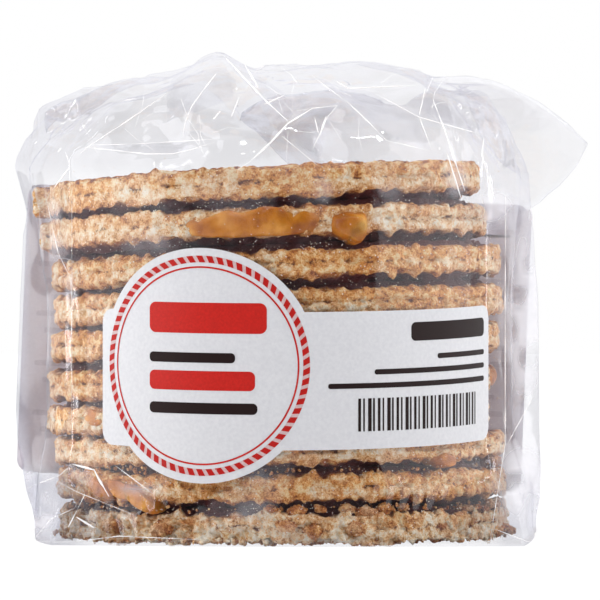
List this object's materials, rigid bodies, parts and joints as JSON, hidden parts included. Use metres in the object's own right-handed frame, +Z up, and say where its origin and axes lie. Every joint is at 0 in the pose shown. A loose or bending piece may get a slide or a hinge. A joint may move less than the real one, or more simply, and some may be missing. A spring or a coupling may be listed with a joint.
{
  "type": "bag of stroopwafels",
  "caption": "Clear gusseted film bag round a stack of round caramel-filled waffle biscuits, its crumpled top folded over behind, with a white label on the front and the back.",
  "frame": {"origin": "middle of the flat base, on the axis of the waffle stack", "axes": "+Z up along the stack, the front label faces -Y, +X to the right of it"},
  "size_m": [0.1074, 0.0901, 0.0869],
  "materials": {
    "film": "clear glossy polypropylene film, creased",
    "label_paper": "white semi-gloss label paper, printed",
    "wafer": "baked butter wafer, crumbly at the rim",
    "caramel": "soft caramel syrup, slightly shiny"
  },
  "bodies": {
    "root": {"bag": "film", "front_label": "label_paper", "back_label": "label_paper"}
  },
  "joints": []
}
